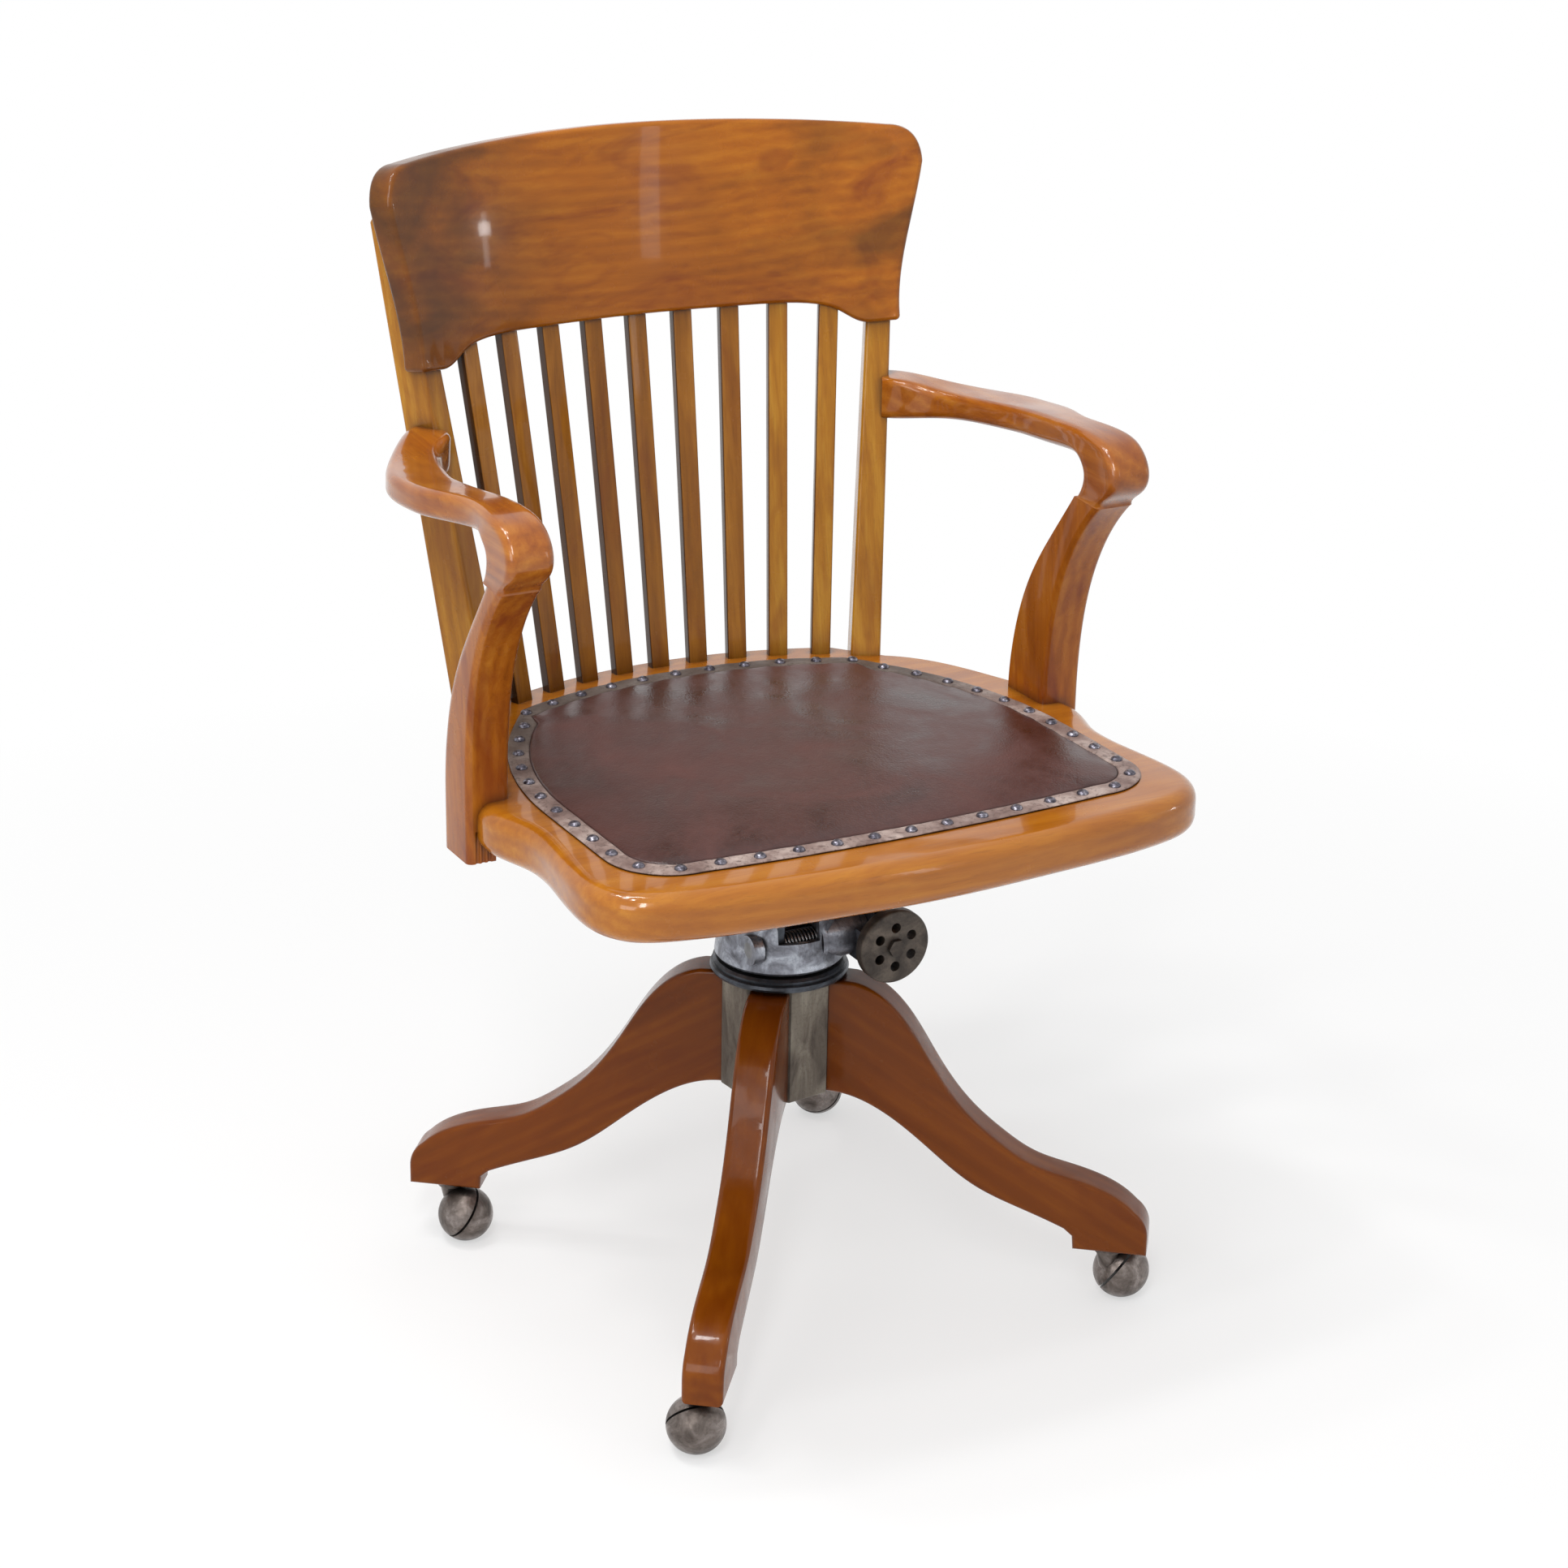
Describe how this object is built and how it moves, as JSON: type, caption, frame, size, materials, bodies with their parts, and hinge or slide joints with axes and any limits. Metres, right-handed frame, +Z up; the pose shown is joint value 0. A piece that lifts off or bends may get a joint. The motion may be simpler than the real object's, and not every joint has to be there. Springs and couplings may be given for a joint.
{
  "type": "swivel armchair",
  "caption": "Wooden bankers swivel armchair: slatted back, leather seat with domed nails, tilting iron head, sawn legs on ball casters",
  "frame": {"origin": "on the floor, under the swivel axis", "axes": "+Z up along the swivel axis, -Y the way the sitter faces, +X to the sitter's left"},
  "size_m": [0.571, 0.5481, 0.9018],
  "materials": {
    "hub_iron": "grey casting, worn",
    "nut_iron": "dark casting",
    "head_iron": "blue-grey casting, worn",
    "disc_iron": "brown-grey casting",
    "bright_steel": "plain steel",
    "bush_brass": "plain",
    "caster_metal": "worn brown-grey",
    "leg_wood": "red-brown varnish",
    "seat_wood": "golden-brown varnish",
    "back_wood": "warm brown varnish, glossy",
    "arm_wood": "warm brown varnish, glossy",
    "seat_leather": "dark red-brown, polished",
    "band_leather": "worn pinkish grey",
    "nail_metal": "tarnished, domed"
  },
  "bodies": {
    "base": {"pedestal_hub": "hub_iron", "hub_bush": "bush_brass", "hub_bottom_plate": "hub_iron", "spindle_key": "bright_steel", "leg_studs": "bright_steel", "caster_sockets": "caster_metal", "leg_1": "leg_wood", "leg_2": "leg_wood", "leg_3": "leg_wood", "leg_4": "leg_wood"},
    "nut": {"height_nut": "nut_iron"},
    "column": {"spindle": "bright_steel", "thrust_washer": "bush_brass", "retaining_nut": "bright_steel"},
    "head": {"swivel_head": "head_iron", "tilt_shaft": "bright_steel", "shaft_nut": "bright_steel", "tilt_spring": "bright_steel"},
    "tension": {"tension_disc": "disc_iron", "tension_screw": "bright_steel"},
    "seat": {"seat_spider": "nut_iron", "spider_screws": "bright_steel", "seat_board": "seat_wood", "seat_pad": "seat_leather", "gimp_band": "band_leather", "seat_nails": "nail_metal", "crest_rail": "back_wood", "slat_1": "back_wood", "slat_2": "back_wood", "slat_3": "back_wood", "slat_4": "back_wood", "slat_5": "back_wood", "slat_6": "back_wood", "slat_7": "back_wood", "slat_8": "back_wood", "slat_9": "back_wood", "post_left": "back_wood", "post_right": "back_wood", "arm_left": "arm_wood", "arm_right": "arm_wood", "arm_support_left": "arm_wood", "arm_support_right": "arm_wood"},
    "caster_1_swivel": {"caster_1_hood": "caster_metal", "caster_1_stem": "bright_steel", "caster_1_axle": "bright_steel"},
    "caster_1_roll": {"caster_1_wheel": "caster_metal"},
    "caster_2_swivel": {"caster_2_hood": "caster_metal", "caster_2_stem": "bright_steel", "caster_2_axle": "bright_steel"},
    "caster_2_roll": {"caster_2_wheel": "caster_metal"},
    "caster_3_swivel": {"caster_3_hood": "caster_metal", "caster_3_stem": "bright_steel", "caster_3_axle": "bright_steel"},
    "caster_3_roll": {"caster_3_wheel": "caster_metal"},
    "caster_4_swivel": {"caster_4_hood": "caster_metal", "caster_4_stem": "bright_steel", "caster_4_axle": "bright_steel"},
    "caster_4_roll": {"caster_4_wheel": "caster_metal"}
  },
  "joints": [
    {"name": "height_nut_turn", "type": "hinge", "parent": "base", "child": "nut", "pos_m": [0, 0, 0.278], "axis": [0, 0, -1], "range_deg": [0, 1800]},
    {"name": "spindle_lift", "type": "slide", "parent": "base", "child": "column", "axis": [0, 0, 1], "range_m": [0, 0.06]},
    {"name": "seat_swivel", "type": "hinge", "parent": "column", "child": "head", "pos_m": [0, 0, 0.286], "axis": [0, 0, 1], "continuous": true},
    {"name": "seat_tilt", "type": "hinge", "parent": "head", "child": "seat", "pos_m": [0, -0.03, 0.307], "axis": [-1, 0, 0], "range_deg": [0, 15], "stiffness_Nm_per_rad": 60, "springref_deg": -14.32},
    {"name": "tension_turn", "type": "hinge", "parent": "head", "child": "tension", "pos_m": [0.066, -0.0705, 0.304], "axis": [0, -1, 0], "range_deg": [-720, 720]},
    {"name": "caster_1_turn", "type": "hinge", "parent": "base", "child": "caster_1_swivel", "pos_m": [-0.17257, -0.2154, 0.05], "axis": [0, 0, 1], "continuous": true},
    {"name": "caster_1_spin", "type": "hinge", "parent": "caster_1_swivel", "child": "caster_1_roll", "pos_m": [-0.18715, -0.2215, 0.023], "axis": [-0.1703, -0.8013, -0.5736], "continuous": true},
    {"name": "caster_2_turn", "type": "hinge", "parent": "base", "child": "caster_2_swivel", "pos_m": [0.2154, -0.17257, 0.05], "axis": [0, 0, 1], "continuous": true},
    {"name": "caster_2_spin", "type": "hinge", "parent": "caster_2_swivel", "child": "caster_2_roll", "pos_m": [0.23111, -0.17083, 0.023], "axis": [0.5374, -0.6182, -0.5736], "continuous": true},
    {"name": "caster_3_turn", "type": "hinge", "parent": "base", "child": "caster_3_swivel", "pos_m": [0.17257, 0.2154, 0.05], "axis": [0, 0, 1], "continuous": true},
    {"name": "caster_3_spin", "type": "hinge", "parent": "caster_3_swivel", "child": "caster_3_roll", "pos_m": [0.17001, 0.231, 0.023], "axis": [0.5892, 0.569, -0.5736], "continuous": true},
    {"name": "caster_4_turn", "type": "hinge", "parent": "base", "child": "caster_4_swivel", "pos_m": [-0.2154, 0.17257, 0.05], "axis": [0, 0, 1], "continuous": true},
    {"name": "caster_4_spin", "type": "hinge", "parent": "caster_4_swivel", "child": "caster_4_roll", "pos_m": [-0.2093, 0.15798, 0.023], "axis": [0.8013, -0.1703, -0.5736], "continuous": true}
  ],
  "couplings": [
    {"joint": "spindle_lift", "follows": "height_nut_turn", "m_per_rad": 0.0019099}
  ]
}
